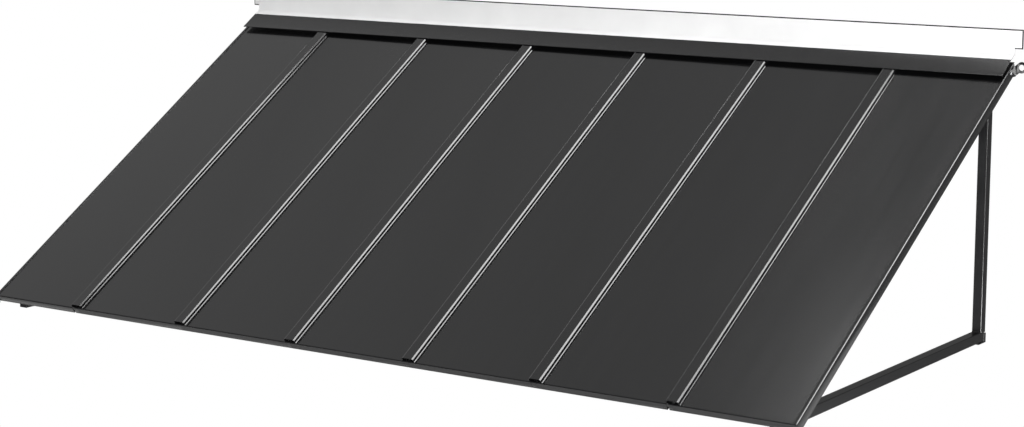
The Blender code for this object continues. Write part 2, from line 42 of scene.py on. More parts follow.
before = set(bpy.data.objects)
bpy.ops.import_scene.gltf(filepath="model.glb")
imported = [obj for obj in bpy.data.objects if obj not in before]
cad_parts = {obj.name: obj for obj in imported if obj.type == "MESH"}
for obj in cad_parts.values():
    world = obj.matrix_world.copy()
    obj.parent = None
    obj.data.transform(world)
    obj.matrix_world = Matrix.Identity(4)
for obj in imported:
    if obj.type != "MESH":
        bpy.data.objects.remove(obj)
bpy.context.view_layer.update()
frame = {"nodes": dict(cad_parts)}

BODY = "root"
SEAMS = 6
GAP = 0.0003
SPLICED_SEAMS = (1, 6)
SEAL_THICKNESS = 0.003
EAR_PLATE = 0.003
EAR_TAB_LENGTH = 0.040
FOOT_BLOCK = 0.010
FRONT_RAIL_START = 0.0145
RAIL_SHARES = {"front_rail": 0, "purlin_lower": 1 / 3, "purlin_upper": 2 / 3}
X_AXIS = Vector((1, 0, 0))
UP = Vector((0, 0, 1))
DOWN = Vector((0, 0, -1))
UPHILL = Vector((0, 1, 0))
DOWNHILL = Vector((0, -1, 0))
SIDES = (("left", -1), ("right", 1))


def linear(hex_colour):
    """sRGB hex value as a linear RGBA colour."""
    values = [int(hex_colour[i:i + 2], 16) / 255 for i in (1, 3, 5)]
    straight = [v / 12.92 if v <= 0.04045 else ((v + 0.055) / 1.055) ** 2.4 for v in values]
    return (*straight, 1.0)


class RoofSizes(bpy.types.PropertyGroup):
    """Sizes of the sheet roof."""

    width: bpy.props.FloatProperty(
        name="Width", description="Over the two rake trims", default=2.44, unit="LENGTH")
    projection: bpy.props.FloatProperty(
        name="Projection", description="Wall to eave fold", default=1.108, unit="LENGTH")
    pitch: bpy.props.FloatProperty(
        name="Pitch", description="Slope of the roof", default=radians(31.6), subtype="ANGLE")
    sheet: bpy.props.FloatProperty(
        name="Sheet", description="Thickness of pans and caps", default=0.0008, unit="LENGTH")
    seam_pitch: bpy.props.FloatProperty(
        name="Seam pitch", description="Seam to seam", default=0.365, unit="LENGTH")
    eave_depth: bpy.props.FloatProperty(
        name="Eave depth", description="Drop of the folded eave", default=0.018, unit="LENGTH")
    eave_radius: bpy.props.FloatProperty(
        name="Eave radius", description="Bend at the eave", default=0.003, unit="LENGTH")
    pan_wall_gap: bpy.props.FloatProperty(
        name="Pan wall gap", description="Pans and caps stop short of the wall", default=0.010,
        unit="LENGTH")


class SeamSizes(bpy.types.PropertyGroup):
    """Sizes of the seams and their caps."""

    leg_face: bpy.props.FloatProperty(
        name="Leg face", description="Seam centre to the pan side of a leg", default=0.0048,
        unit="LENGTH")
    hook_height: bpy.props.FloatProperty(
        name="Hook height", description="Top of the hooks", default=0.0072, unit="LENGTH")
    hook_reach: bpy.props.FloatProperty(
        name="Hook reach", description="Leg to the hook's lip", default=0.0057, unit="LENGTH")
    cap_height: bpy.props.FloatProperty(
        name="Cap height", description="Top of the cap over the pans", default=0.0106, unit="LENGTH")
    cap_top: bpy.props.FloatProperty(
        name="Cap top width", description="Between the sharp upper corners", default=0.034,
        unit="LENGTH")
    cap_setback: bpy.props.FloatProperty(
        name="Cap setback", description="Eave fold to the cap's end", default=0.0015,
        unit="LENGTH")


class TrimSizes(bpy.types.PropertyGroup):
    """Sizes of the rake trims and the flashings at the wall."""

    sheet: bpy.props.FloatProperty(
        name="Trim sheet", description="Thickness of the rake trims", default=0.001, unit="LENGTH")
    rake_drop: bpy.props.FloatProperty(
        name="Rake drop", description="Trim face below the pans", default=0.0239, unit="LENGTH")
    rake_width: bpy.props.FloatProperty(
        name="Rake width", description="Flange on the end pan", default=0.010, unit="LENGTH")
    rake_corner: bpy.props.FloatProperty(
        name="Rake corner", description="Radius of the trim's bends", default=0.002,
        unit="LENGTH")
    end_inset: bpy.props.FloatProperty(
        name="Flashing inset", description="Flashing ends inside the trims", default=0.005,
        unit="LENGTH")
    head_lower: bpy.props.FloatProperty(
        name="Head flashing start", description="Up the slope from the eave", default=1.2169,
        unit="LENGTH")
    head_hem: bpy.props.FloatProperty(
        name="Head flashing hem", description="Height of the folded hem", default=0.0022,
        unit="LENGTH")
    flange_lower: bpy.props.FloatProperty(
        name="Flange start", description="Up the slope from the eave", default=1.2804,
        unit="LENGTH")
    flange_top: bpy.props.FloatProperty(
        name="Flange top", description="Height on the wall", default=0.100, unit="LENGTH")


class FrameSizes(bpy.types.PropertyGroup):
    """Sizes of the welded frame and its fittings."""

    tube: bpy.props.FloatProperty(
        name="Tube", description="Side of the square tube", default=0.0254, unit="LENGTH")
    tube_wall: bpy.props.FloatProperty(
        name="Tube wall", description="Wall of the tube", default=0.0016, unit="LENGTH")
    tube_corner: bpy.props.FloatProperty(
        name="Tube corner", description="Radius of the tube's corners", default=0.002,
        unit="LENGTH")
    inset: bpy.props.FloatProperty(
        name="Frame inset", description="End frames inside the trims", default=0.0586,
        unit="LENGTH")
    arm_underside: bpy.props.FloatProperty(
        name="Arm underside", description="Height of the arms' underside", default=-0.6833,
        unit="LENGTH")
    arm_front: bpy.props.FloatProperty(
        name="Arm front", description="Eave to the arm's front end", default=0.035, unit="LENGTH")


class Finishes(bpy.types.PropertyGroup):
    """Colours of the finishes, in linear light."""

    roof: bpy.props.FloatVectorProperty(
        name="Roof coat", description="Powder coat of the sheet", size=3, subtype="COLOR",
        default=linear("#101011")[:3], min=0, max=1)
    frame: bpy.props.FloatVectorProperty(
        name="Frame coat", description="Powder coat of the tubes", size=3, subtype="COLOR",
        default=linear("#141415")[:3], min=0, max=1)
    flange: bpy.props.FloatVectorProperty(
        name="Flange coat", description="White coil coat", size=3, subtype="COLOR",
        default=linear("#f0f0f0")[:3], min=0, max=1)


def sizes(name):
    """One group of sizes, as it stands in the scene."""
    return getattr(bpy.context.scene, f"awning_{name}")


def slope_matrix():
    """From roof coordinates (along the eave, up the slope, off the roof) to the frame's."""
    roof = sizes("roof")
    tube = sizes("frame").tube
    rise = tube / 2 + tube * tan(roof.pitch) + (roof.sheet + GAP) / cos(roof.pitch)
    front = Vector((0, -roof.projection, rise - roof.projection * tan(roof.pitch)))
    return Matrix.Translation(front) @ Matrix.Rotation(roof.pitch, 4, "X")


def slope_s(y, h):
    """Distance up the slope of a point at frame y that stands h off the roof."""
    roof = sizes("roof")
    return (roof.projection + y + h * sin(roof.pitch)) / cos(roof.pitch)


def seam_x(number):
    """Centre of a seam, counted from the left."""
    return (number - (SEAMS + 1) / 2) * sizes("roof").seam_pitch


def near(a, b):
    """Whether two lengths are the same to a thousandth of a millimetre."""
    return abs(a - b) < 1e-6


def bend(radius, start, end, segments=8):
    """Steps of a brake bend that turns a sheet from one direction to another."""
    angle = start.angle(end)
    across = (end - start * start.dot(end)).normalized()
    turns = [angle * i / segments for i in range(segments + 1)]
    points = [radius * (sin(t) * start + (1 - cos(t)) * across) for t in turns]
    return [b - a for a, b in zip(points, points[1:])]


def new_verts(made):
    """Vertices among the parts that a bmesh operator made."""
    return [item for item in made if isinstance(item, bmesh.types.BMVert)]


def fold(bm, edges, steps):
    """Extrude edges along the steps and return the last ones."""
    for step in steps:
        made = bmesh.ops.extrude_edge_only(bm, edges=edges)["geom"]
        verts = set(new_verts(made))
        bmesh.ops.translate(bm, verts=list(verts), vec=step)
        lines = [item for item in made if isinstance(item, bmesh.types.BMEdge)]
        edges = [edge for edge in lines if set(edge.verts) <= verts]
    return edges


def edges_at(bm, test):
    """Free edges whose two ends both pass the test."""
    return [e for e in bm.edges if e.is_boundary and all(test(v.co) for v in e.verts)]


def flat_sheet(bm, outline):
    """Flat face from points in roof coordinates."""
    bm.faces.new([bm.verts.new((x, s, 0)) for x, s in dict.fromkeys(outline)])


def piece(name, bm, material, stands_for=()):
    """Turn a bmesh into a finished piece that rides on the frame."""
    mesh = bpy.data.meshes.new(name)
    bm.to_mesh(mesh)
    bm.free()
    mesh.shade_smooth()
    mesh.set_sharp_from_angle(angle=radians(35))
    mesh.materials.append(material)
    obj = bpy.data.objects.new(name, mesh)
    bpy.context.scene.collection.objects.link(obj)
    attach(obj, BODY)
    for node in stands_for:
        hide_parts(node)
    return obj


def even_shading(obj):
    """Let the large flat faces set the shading, so only the bends look round."""
    weighted = obj.modifiers.new("flat faces", "WEIGHTED_NORMAL")
    weighted.keep_sharp = True


def sheet_piece(name, bm, material, thickness, outward):
    """Folded sheet, given its thickness behind the faces drawn and laid on the slope."""
    bmesh.ops.recalc_face_normals(bm, faces=bm.faces[:])
    bm.faces.ensure_lookup_table()
    bm.normal_update()
    if bm.faces[0].normal.dot(outward) < 0:
        bmesh.ops.reverse_faces(bm, faces=bm.faces[:])
    bmesh.ops.transform(bm, matrix=slope_matrix(), verts=bm.verts[:])
    obj = piece(f"{name}_sheet", bm, material, [name])
    skin = obj.modifiers.new("thickness", "SOLIDIFY")
    skin.thickness = thickness
    skin.offset = -1.0
    skin.use_even_offset = True
    skin.use_quality_normals = True
    even_shading(obj)


def rounded(obj, width, segments=3):
    """Soft edges all round a solid piece."""
    soft = obj.modifiers.new("soft edges", "BEVEL")
    soft.width = width
    soft.segments = segments
    soft.limit_method = "ANGLE"
    soft.harden_normals = True


def box(bm, low, high):
    """Closed box between two corners."""
    size = [b - a for a, b in zip(low, high)]
    centre = [(a + b) / 2 for a, b in zip(low, high)]
    place = Matrix.Translation(centre) @ Matrix.Diagonal((*size, 1))
    return bmesh.ops.create_cube(bm, size=1, matrix=place)["verts"]


def prism(bm, outline, depth):
    """Closed solid from an outline pushed along depth."""
    face = bm.faces.new([bm.verts.new(point) for point in outline])
    made = bmesh.ops.extrude_face_region(bm, geom=[face])["geom"]
    bmesh.ops.translate(bm, verts=new_verts(made), vec=depth)
    bmesh.ops.recalc_face_normals(bm, faces=bm.faces[:])


def node(tree, kind, settings=None, links=None):
    """Add a node, set its sockets and properties, and link sockets that come from other nodes."""
    made = tree.nodes.new(kind)
    for key, value in (settings or {}).items():
        if isinstance(key, int) or key in made.inputs:
            made.inputs[key].default_value = value
        else:
            setattr(made, key, value)
    for key, source in (links or {}).items():
        tree.links.new(source, made.inputs[key])
    return made


def new_material(name, values):
    """Material with a Principled shader set to the given values."""
    made = bpy.data.materials.new(name)
    made.use_nodes = True
    tree = made.node_tree
    shader = tree.nodes["Principled BSDF"]
    for key, value in values.items():
        shader.inputs[key].default_value = value
    return made, tree, shader


def tinted(tree, shader, colour, factor):
    """Colour the shader, multiplied by a factor from another node."""
    tint = node(tree, "ShaderNodeMix",
                {"data_type": "RGBA", "blend_type": "MULTIPLY", 0: 1.0, 6: (*colour, 1.0)})
    tree.links.new(factor, tint.inputs[7])
    tree.links.new(tint.outputs[2], shader.inputs["Base Color"])


def powder_coat(name, colour, roughness, grain_mm=3.0):
    """Satin polyester powder coat, sprayed and baked on steel.

    Its fine orange peel breaks up reflections; the real grain is about 1 mm and is drawn
    coarser so that it shows. Rain streaks of dust about 18 mm wide run down the slope, and
    slow waves about 200 mm long lie in the sheet.
    """
    made, tree, shader = new_material(name, {
        "Base Color": (*colour, 1.0), "Roughness": roughness, "IOR": 1.5,
        "Coat Weight": 1.0, "Coat Roughness": 0.12, "Coat IOR": 1.5})
    place = node(tree, "ShaderNodeTexCoord")
    on_slope = node(tree, "ShaderNodeMapping",
                    {"Rotation": (-sizes("roof").pitch, 0, 0)}, {"Vector": place.outputs["Object"]})
    streak_scale = node(tree, "ShaderNodeMapping", {"Scale": (1.0, 0.06, 1.0)},
                        {"Vector": on_slope.outputs["Vector"]})
    streaks = node(tree, "ShaderNodeTexNoise",
                   {"Scale": 55.0, "Detail": 4.0, "Roughness": 0.6},
                   {"Vector": streak_scale.outputs["Vector"]})
    dust = node(tree, "ShaderNodeMapRange",
                {"From Min": 0.35, "From Max": 0.75, "To Min": 0.94, "To Max": 1.12},
                {"Value": streaks.outputs["Fac"]})
    tinted(tree, shader, colour, dust.outputs["Result"])
    grain = node(tree, "ShaderNodeTexNoise", {"Scale": 1000.0 / grain_mm, "Detail": 2.0},
                 {"Vector": place.outputs["Object"]})
    wander = node(tree, "ShaderNodeMapRange",
                  {"From Min": 0.3, "From Max": 0.7, "To Min": roughness - 0.015,
                   "To Max": roughness + 0.015}, {"Value": streaks.outputs["Fac"]})
    tree.links.new(wander.outputs["Result"], shader.inputs["Roughness"])
    wave = node(tree, "ShaderNodeTexNoise", {"Scale": 5.0, "Detail": 1.0},
                {"Vector": on_slope.outputs["Vector"]})
    slow = node(tree, "ShaderNodeBump", {"Strength": 0.12, "Distance": 0.0015},
                {"Height": wave.outputs["Fac"]})
    peel = node(tree, "ShaderNodeBump", {"Strength": 0.08, "Distance": 0.0003},
                {"Height": grain.outputs["Fac"], "Normal": slow.outputs["Normal"]})
    tree.links.new(peel.outputs["Normal"], shader.inputs["Normal"])
    return made


def coil_coat(colour):
    """White coil coated steel, rolled flat: smooth, with faint grime patches about 110 mm wide."""
    made, tree, shader = new_material("white_coil_coated_steel", {
        "Base Color": (*colour, 1.0), "Roughness": 0.42, "IOR": 1.5})
    place = node(tree, "ShaderNodeTexCoord")
    grime = node(tree, "ShaderNodeTexNoise", {"Scale": 9.0, "Detail": 5.0},
                 {"Vector": place.outputs["Object"]})
    tone = node(tree, "ShaderNodeMapRange",
                {"From Min": 0.3, "From Max": 0.7, "To Min": 0.97, "To Max": 1.03},
                {"Value": grime.outputs["Fac"]})
    tinted(tree, shader, colour, tone.outputs["Result"])
    return made


def moulded_black(name, hex_colour, roughness, grain_mm):
    """Moulded black plastic or rubber: matte, with a fine spark-eroded or sanded grain."""
    made, tree, shader = new_material(name, {
        "Base Color": linear(hex_colour), "Roughness": roughness, "IOR": 1.49})
    place = node(tree, "ShaderNodeTexCoord")
    grain = node(tree, "ShaderNodeTexNoise", {"Scale": 1000.0 / grain_mm, "Detail": 3.0},
                 {"Vector": place.outputs["Object"]})
    rough = node(tree, "ShaderNodeMapRange",
                 {"From Min": 0.3, "From Max": 0.7, "To Min": roughness - 0.08,
                  "To Max": roughness + 0.08}, {"Value": grain.outputs["Fac"]})
    tree.links.new(rough.outputs["Result"], shader.inputs["Roughness"])
    bump = node(tree, "ShaderNodeBump", {"Strength": 0.3, "Distance": 0.0002},
                {"Height": grain.outputs["Fac"]})
    tree.links.new(bump.outputs["Normal"], shader.inputs["Normal"])
    return made


def zinc_plate():
    """Bright zinc plated steel: soft sheen with clouds about 6 mm wide from the plating bath."""
    made, tree, shader = new_material("zinc_plated_steel", {
        "Base Color": linear("#c4c6c8"), "Metallic": 1.0, "Roughness": 0.32})
    place = node(tree, "ShaderNodeTexCoord")
    cloud = node(tree, "ShaderNodeTexNoise", {"Scale": 160.0, "Detail": 4.0},
                 {"Vector": place.outputs["Object"]})
    rough = node(tree, "ShaderNodeMapRange",
                 {"From Min": 0.3, "From Max": 0.7, "To Min": 0.24, "To Max": 0.42},
                 {"Value": cloud.outputs["Fac"]})
    tree.links.new(rough.outputs["Result"], shader.inputs["Roughness"])
    return made


MADE = {}


def finish(key):
    """One of the awning's finishes, made once."""
    colours = sizes("finishes")
    makers = {
        "roof": lambda: powder_coat("satin_powder_coated_steel_sheet", colours.roof, 0.20),
        "frame": lambda: powder_coat("satin_powder_coated_steel_tube", colours.frame, 0.30, 4.0),
        "white": lambda: coil_coat(colours.flange),
        "plastic": lambda: moulded_black("moulded_black_nylon", "#1c1c1d", 0.55, 2.5),
        "rubber": lambda: moulded_black("black_epdm_rubber", "#151515", 0.78, 2.0),
        "zinc": zinc_plate,
    }
    if key not in MADE:
        MADE[key] = makers[key]()
    return MADE[key]


class AWNING_OT_pans(bpy.types.Operator):
    """Roof pans with hooked legs and a folded eave"""

    bl_idname = "awning.pans"
    bl_label = "Roof pans"

    strip = 0.006
    relief = 0.001
    joint_offset = 0.013
    joint = 0.0006
    splice = 0.005
    eave_return = 0.008
    leg_bend = 0.0015

    def edges_of(self, number):
        """Leg lines and eave tab ends of one pan."""
        roof, seam, trim = sizes("roof"), sizes("seam"), sizes("trim")
        half = roof.width / 2
        edge = half - trim.rake_corner - GAP
        left = -edge if number == 1 else seam_x(number - 1) + seam.leg_face
        left_tab = -edge if number == 1 else seam_x(number - 1) - self.joint_offset
        if number == SEAMS + 1:
            return (left, edge), (left_tab, edge)
        clear = self.splice if number in SPLICED_SEAMS else self.joint
        right = seam_x(number) - seam.leg_face
        return (left, right), (left_tab, seam_x(number) - self.joint_offset - clear)

    def leg(self, bm, x, side):
        """Fold up a hooked leg at x."""
        seam = sizes("seam")
        line = edges_at(bm, lambda co: near(co.x, x) and near(co.z, 0) and co.y > self.strip)
        inward = X_AXIS * side
        lip = seam.hook_height - self.leg_bend - (sizes("roof").sheet + 2 * GAP)
        steps = [UP * (seam.hook_height - self.leg_bend)]
        steps += bend(self.leg_bend, UP, inward, segments=3)
        steps += [inward * (seam.hook_reach - 2 * self.leg_bend)]
        steps += bend(self.leg_bend, inward, DOWN, segments=3)
        steps += [DOWN * lip]
        fold(bm, line, steps)

    def pan(self, number):
        """Flat pan, its folded eave with tabs under the next pans, and its legs."""
        roof = sizes("roof")
        (left, right), (left_tab, right_tab) = self.edges_of(number)
        start = self.strip + self.relief
        top = slope_s(-roof.pan_wall_gap, 0)
        nose_left, nose_right = max(left, left_tab), min(right, right_tab)
        bm = bmesh.new()
        flat_sheet(bm, [(left, start), (nose_left, start), (nose_right, start), (right, start),
                        (right, top), (left, top)])
        front = edges_at(bm, lambda co: near(co.y, start) and nose_left <= co.x + GAP
                         and co.x - GAP <= nose_right)
        fold(bm, front, [DOWNHILL * self.relief, DOWNHILL * (self.strip - roof.eave_radius)])
        for side, tab in ((left, left_tab), (right, right_tab)):
            if (tab - side) * (side - (left + right) / 2) > 0:
                end = edges_at(bm, lambda co: near(co.x, side) and co.y < self.strip + GAP)
                fold(bm, end, [X_AXIS * (tab - side)])
        nose = edges_at(bm, lambda co: near(co.y, roof.eave_radius))
        steps = bend(roof.eave_radius, DOWNHILL, DOWN)
        steps += [DOWN * (roof.eave_depth - roof.eave_radius), UPHILL * self.eave_return]
        fold(bm, nose, steps)
        if number > 1:
            self.leg(bm, left, 1)
        if number <= SEAMS:
            self.leg(bm, right, -1)
        sheet_piece(f"pan_{number}", bm, finish("roof"), roof.sheet, UP)

    def execute(self, context):
        for number in range(1, SEAMS + 2):
            self.pan(number)
        return {"FINISHED"}


class AWNING_OT_seam_caps(bpy.types.Operator):
    """Caps that snap over the hooked legs of two pans, with a foot that kicks out"""

    bl_idname = "awning.seam_caps"
    bl_label = "Seam caps"

    # the bevelled shoulder and the kicked-out foot catch the two light lines at each seam
    lip_end = 0.00925
    lip_corner = 0.0005
    bevel = 0.0038
    bevel_bend = 0.001
    kick_bend = 0.0008
    kick = 0.0020
    tilt = radians(27.5)

    def execute(self, context):
        roof, seam = sizes("roof"), sizes("seam")
        top = slope_s(-roof.pan_wall_gap, 0)
        shoulder = seam.cap_top / 2 - (self.bevel_bend + self.bevel * cos(self.tilt))
        for number in range(1, SEAMS + 1):
            x = seam_x(number)
            bm = bmesh.new()
            flat_sheet(bm, [(x - shoulder, seam.cap_setback), (x - shoulder, top),
                            (x + shoulder, top), (x + shoulder, seam.cap_setback)])
            bmesh.ops.translate(bm, verts=bm.verts[:], vec=UP * seam.cap_height)
            for side in (-1, 1):
                outward = X_AXIS * side
                out = outward * cos(self.tilt) + DOWN * sin(self.tilt)
                line = edges_at(bm, lambda co: near(co.x, x + side * shoulder))
                corner = bend(self.bevel_bend, outward, out) + [out * self.bevel]
                corner += bend(self.bevel_bend, out, DOWN)
                foot = bend(self.kick_bend, DOWN, out) + [out * self.kick]
                foot += bend(self.lip_corner, out, -outward)
                used = sum(corner + foot, Vector())
                flank = DOWN * (seam.cap_height - GAP + used.z)
                reach = shoulder + used.dot(outward)
                fold(bm, line, corner + [flank] + foot + [-outward * (reach - self.lip_end)])
            sheet_piece(f"seam_cap_{number}", bm, finish("roof"), roof.sheet, UP)
        return {"FINISHED"}


class AWNING_OT_rake_trims(bpy.types.Operator):
    """Folded gable trims that wrap round the eave"""

    bl_idname = "awning.rake_trims"
    bl_label = "Rake trims"

    bevel = 0.0018
    bevel_bend = 0.001
    tilt = radians(22)
    nose = 0.006
    notch = 0.012
    under = 0.008

    def trim(self, name, side):
        """Face, flange on the end pan, nose round the eave and lower return of one trim."""
        roof, trim = sizes("roof"), sizes("trim")
        outer = side * roof.width / 2
        outward = X_AXIS * side
        start = trim.rake_corner - GAP - trim.sheet
        end = slope_s(-(EAR_PLATE + GAP), -trim.rake_drop)
        return_end = slope_s(-EAR_TAB_LENGTH, -trim.rake_drop) - self.under
        bm = bmesh.new()
        stations = (start, self.notch, return_end, end)
        verts = [bm.verts.new((outer, s, -trim.rake_drop)) for s in stations]
        line = [bm.edges.new(pair) for pair in zip(verts, verts[1:])]
        top = GAP + trim.sheet
        lean = UP * sin(self.tilt) - outward * cos(self.tilt)
        steps = bend(self.bevel_bend, UP, lean) + [lean * self.bevel]
        steps += bend(self.bevel_bend, lean, -outward)
        used = sum(steps, Vector())
        face_top = fold(bm, line, [UP * (top + trim.rake_drop - used.z)])
        fold(bm, face_top, steps + [-outward * (trim.rake_width - abs(used.x))])
        front = edges_at(bm, lambda co: near(co.x, outer) and near(co.y, start))
        steps = bend(trim.rake_corner, DOWNHILL, -outward)
        steps += [-outward * (self.nose - trim.rake_corner)]
        fold(bm, front, steps)
        low = edges_at(bm, lambda co: near(co.z, -trim.rake_drop) and near(co.x, outer)
                       and self.notch - GAP < co.y < return_end + GAP)
        fold(bm, low, [-outward * self.under])
        sheet_piece(name, bm, finish("roof"), trim.sheet, outward)

    def execute(self, context):
        for word, side in SIDES:
            self.trim(f"rake_trim_{word}", side)
        return {"FINISHED"}


def upright():
    """Straight up, in roof coordinates."""
    pitch = sizes("roof").pitch
    return Vector((0, sin(pitch), cos(pitch)))


def flashing_ends():
    """Both ends of the flashings at the wall."""
    reach = sizes("roof").width / 2 - sizes("trim").end_inset
    return (-reach, reach)


class AWNING_OT_head_flashing(bpy.types.Operator):
    """Black apron over the seam caps, hemmed below and turned up at the wall"""

    bl_idname = "awning.head_flashing"
    bl_label = "Head flashing"

    upturn = 0.020
    hem_return = 0.010

    def execute(self, context):
        roof, seam, trim = sizes("roof"), sizes("seam"), sizes("trim")
        top = seam.cap_height + GAP + trim.head_hem
        radius = trim.head_hem / 2
        start = trim.head_lower + radius
        wall = slope_s(-(SEAL_THICKNESS + GAP + roof.sheet), top)
        bm = bmesh.new()
        line = bm.edges.new([bm.verts.new((x, start, top)) for x in flashing_ends()])
        fold(bm, [line], [UPHILL * (wall - start), upright() * self.upturn])
        lower = edges_at(bm, lambda co: near(co.y, start))
        steps = bend(radius, DOWNHILL, DOWN, segments=5)
        steps += bend(radius, DOWN, UPHILL, segments=5)
        fold(bm, lower, steps + [UPHILL * self.hem_return])
        sheet_piece("head_flashing", bm, finish("roof"), roof.sheet, UP)
        return {"FINISHED"}


class AWNING_OT_wall_flange(bpy.types.Operator):
    """White counter flashing: a skirt on the apron and a flange up the wall"""

    bl_idname = "awning.wall_flange"
    bl_label = "Wall flange"

    def execute(self, context):
        roof, seam, trim = sizes("roof"), sizes("seam"), sizes("trim")
        top = seam.cap_height + GAP + trim.head_hem + GAP + roof.sheet
        wall = slope_s(-(SEAL_THICKNESS + 2 * GAP + 2 * roof.sheet), top)
        height = (slope_matrix() @ Vector((0, wall, top))).z
        bm = bmesh.new()
        line = bm.edges.new([bm.verts.new((x, trim.flange_lower, top)) for x in flashing_ends()])
        fold(bm, [line], [UPHILL * (wall - trim.flange_lower),
                          upright() * (trim.flange_top - height)])
        sheet_piece("wall_flange", bm, finish("white"), roof.sheet, UP)
        return {"FINISHED"}


class AWNING_OT_wall_seal(bpy.types.Operator):
    """Rubber strip between the flange and the wall"""

    bl_idname = "awning.wall_seal"
    bl_label = "Wall seal"

    # the white facing leaves a dark outline of rubber round it
    facing = 0.0005
    facing_gap = GAP / 10
    edge = 0.003

    def execute(self, context):
        low, high = (Vector(corner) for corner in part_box("wall_seal"))
        bm = bmesh.new()
        box(bm, low + Vector((0, self.facing, 0)), high)
        core = piece("wall_seal_core", bm, finish("rubber"), ["wall_seal"])
        rounded(core, width=0.0006, segments=2)
        bm = bmesh.new()
        box(bm, low + Vector((self.edge, 0, self.edge)),
            (high.x - self.edge, low.y + self.facing - self.facing_gap, high.z - self.edge))
        facing = piece("wall_seal_facing", bm, finish("white"))
        rounded(facing, width=0.0001, segments=1)
        return {"FINISHED"}


def square_loop(bm, half, corner, place, steps=6):
    """Points round a square section with rounded corners, in order."""
    verts = []
    for quarter in range(4):
        centre = Matrix.Rotation(quarter * pi / 2, 2) @ Vector((half - corner, half - corner))
        for i in range(steps + 1):
            angle = (quarter + i / steps) * pi / 2
            point = centre + corner * Vector((cos(angle), sin(angle)))
            verts.append(bm.verts.new(place @ Vector((point.x, point.y, 0))))
    return verts


def square_tube(start, end, end_plane=None):
    """Rolled square tube from start to end; the end can follow a plane of (point, normal)."""
    tube = sizes("frame")
    along = end - start
    place = Matrix.Translation(start) @ along.to_track_quat("Z", "Y").to_matrix().to_4x4()
    bm = bmesh.new()
    outer = square_loop(bm, tube.tube / 2, tube.tube_corner, place)
    inner = square_loop(bm, tube.tube / 2 - tube.tube_wall, tube.tube_corner - tube.tube_wall,
                        place)
    corners = range(len(outer))
    rim = [bm.faces.new((outer[i - 1], outer[i], inner[i], inner[i - 1])) for i in corners]
    made = bmesh.ops.extrude_face_region(bm, geom=rim)["geom"]
    far = new_verts(made)
    bmesh.ops.translate(bm, verts=far, vec=along)
    if end_plane:
        point, normal = end_plane
        for vert in far:
            vert.co += along * ((point - vert.co).dot(normal) / along.dot(normal))
    bmesh.ops.recalc_face_normals(bm, faces=bm.faces[:])
    return bm


def mitre(bm, point, normal):
    """Cut a corner off a closed solid and close the cut again."""
    whole = bm.verts[:] + bm.edges[:] + bm.faces[:]
    bmesh.ops.bisect_plane(bm, geom=whole, plane_co=point, plane_no=normal, clear_outer=True,
                           dist=1e-7)
    bmesh.ops.edgeloop_fill(bm, edges=[edge for edge in bm.edges if edge.is_boundary])
    bmesh.ops.recalc_face_normals(bm, faces=bm.faces[:])


def under_rafter():
    """Plane just under the rafters, as a point and the normal that faces the roof."""
    slope = slope_matrix()
    depth = sizes("roof").sheet + sizes("frame").tube + 2 * GAP
    return slope @ Vector((0, 0, -depth)), slope.to_3x3() @ UP


def frame_x(side):
    """Centre of an end frame's tubes."""
    frame_sizes = sizes("frame")
    return side * (sizes("roof").width / 2 - frame_sizes.inset - frame_sizes.tube / 2)


class AWNING_OT_frame_tubes(bpy.types.Operator):
    """Square tubes of the two end frames and the rails between them"""

    bl_idname = "awning.frame_tubes"
    bl_label = "Frame tubes"

    rafter_front = 0.012
    rail_end = 0.0046

    def tube(self, name, bm, on_slope=False):
        """Finish a tube, laid on the slope if it is drawn in roof coordinates."""
        if on_slope:
            bmesh.ops.transform(bm, matrix=slope_matrix(), verts=bm.verts[:])
        even_shading(piece(f"{name}_tube", bm, finish("frame"), [name]))

    def end_frame(self, word, side):
        """Rafter, post and arm of one end."""
        roof, own = sizes("roof"), sizes("frame")
        x, half = frame_x(side), own.tube / 2
        h = -(roof.sheet + GAP + half)
        start = Vector((x, self.rafter_front, h))
        wall_cut = Vector((x, slope_s(-(own.tube + GAP), h), h))
        plumb = Vector((0, cos(roof.pitch), -sin(roof.pitch)))
        end = Vector((x, slope_s(0, 0), h))
        self.tube(f"rafter_{word}", square_tube(start, end, (wall_cut, plumb)), True)
        arm_z = own.arm_underside + half
        low = Vector((x, -half, arm_z + half + GAP))
        self.tube(f"post_{word}", square_tube(low, Vector((x, -half, -half - GAP))))
        back = Vector((x, -(FOOT_BLOCK + GAP), arm_z))
        arm = square_tube(back, Vector((x, own.arm_front - roof.projection, arm_z)))
        mitre(arm, *under_rafter())
        self.tube(f"arm_{word}", arm)

    def execute(self, context):
        roof, own = sizes("roof"), sizes("frame")
        for word, side in SIDES:
            self.end_frame(word, side)
        reach = frame_x(1) - own.tube / 2 - GAP
        h = -(roof.sheet + GAP + own.tube / 2)
        span = slope_s(-own.tube, -(roof.sheet + GAP)) - FRONT_RAIL_START
        for name, share in RAIL_SHARES.items():
            s = FRONT_RAIL_START + span * share + own.tube / 2
            self.tube(name, square_tube(Vector((-reach, s, h)), Vector((reach, s, h))), True)
        reach = roof.width / 2 - self.rail_end
        y = -own.tube / 2
        self.tube("head_rail", square_tube(Vector((-reach, y, 0)), Vector((reach, y, 0))))
        return {"FINISHED"}


